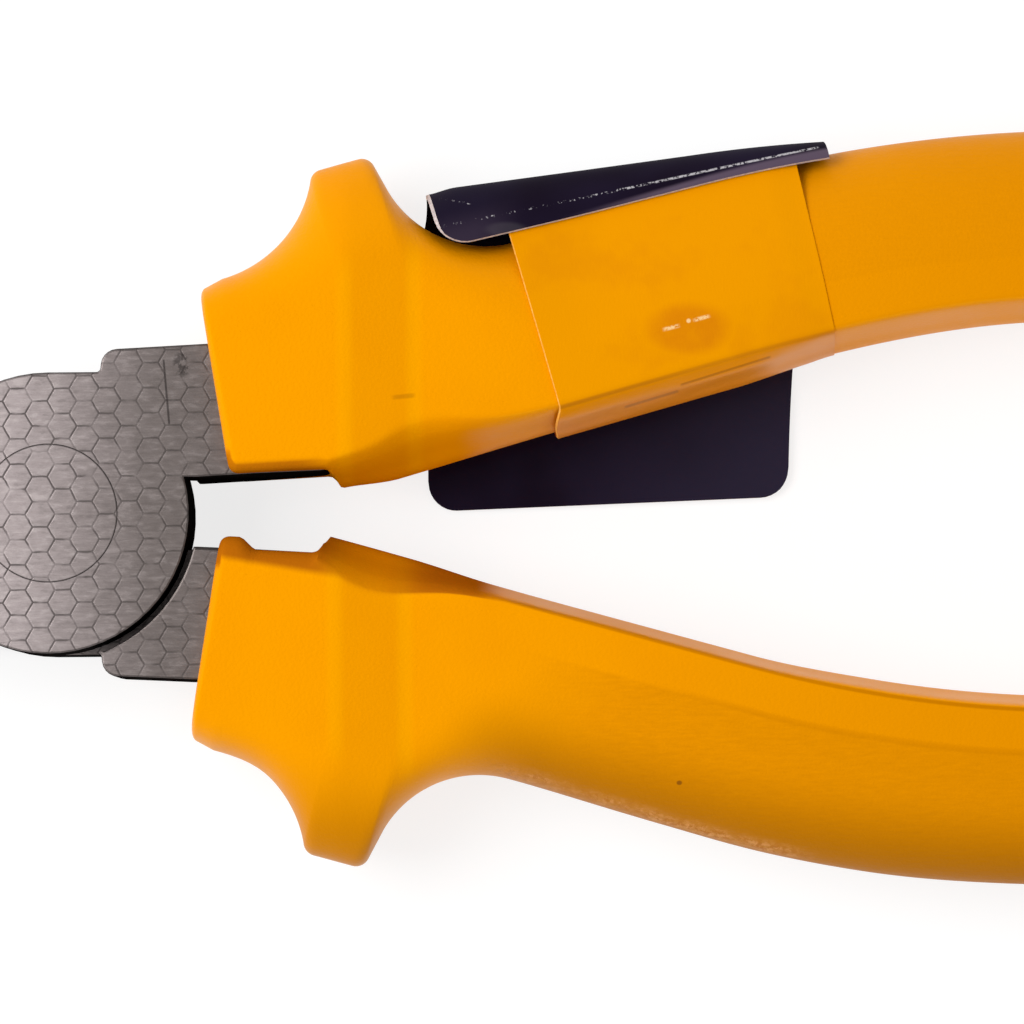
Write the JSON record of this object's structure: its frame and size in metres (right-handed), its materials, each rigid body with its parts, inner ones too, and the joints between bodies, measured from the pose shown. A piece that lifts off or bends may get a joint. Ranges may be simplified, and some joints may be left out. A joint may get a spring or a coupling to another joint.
{
  "type": "lineman pliers",
  "caption": "Lap-jointed lineman pliers with serrated nose, pipe grip and side cutters, moulded grips with finger guards, and a bare folded card label on one handle.",
  "frame": {"origin": "pivot axis at the back face of the lap joint", "axes": "+X from the jaws to the handles along the centreline, +Z along the pivot axis to the front face, +Y to the handle that carries the label"},
  "size_m": [0.1803, 0.0679, 0.0168],
  "materials": {
    "tool_steel": "ground faces with a fine etched hexagon pattern",
    "rivet_steel": "ground flush with the joint",
    "grip_plastic": "satin, slightly grained on the outer side",
    "coated_card": "gloss-coated on both sides, white cut edges",
    "coated_paper": "satin-coated"
  },
  "bodies": {
    "upper": {"upper_half": "tool_steel", "pivot_rivet": "rivet_steel", "upper_grip": "grip_plastic", "label_card": "coated_card", "label_strap": "coated_paper"},
    "lower": {"lower_half": "tool_steel", "lower_grip": "grip_plastic"}
  },
  "joints": [
    {"name": "jaw_pivot", "type": "hinge", "parent": "upper", "child": "lower", "pos_m": [0, 0, 0.0055], "axis": [0, 0, -1], "range_deg": [0, 40]}
  ]
}
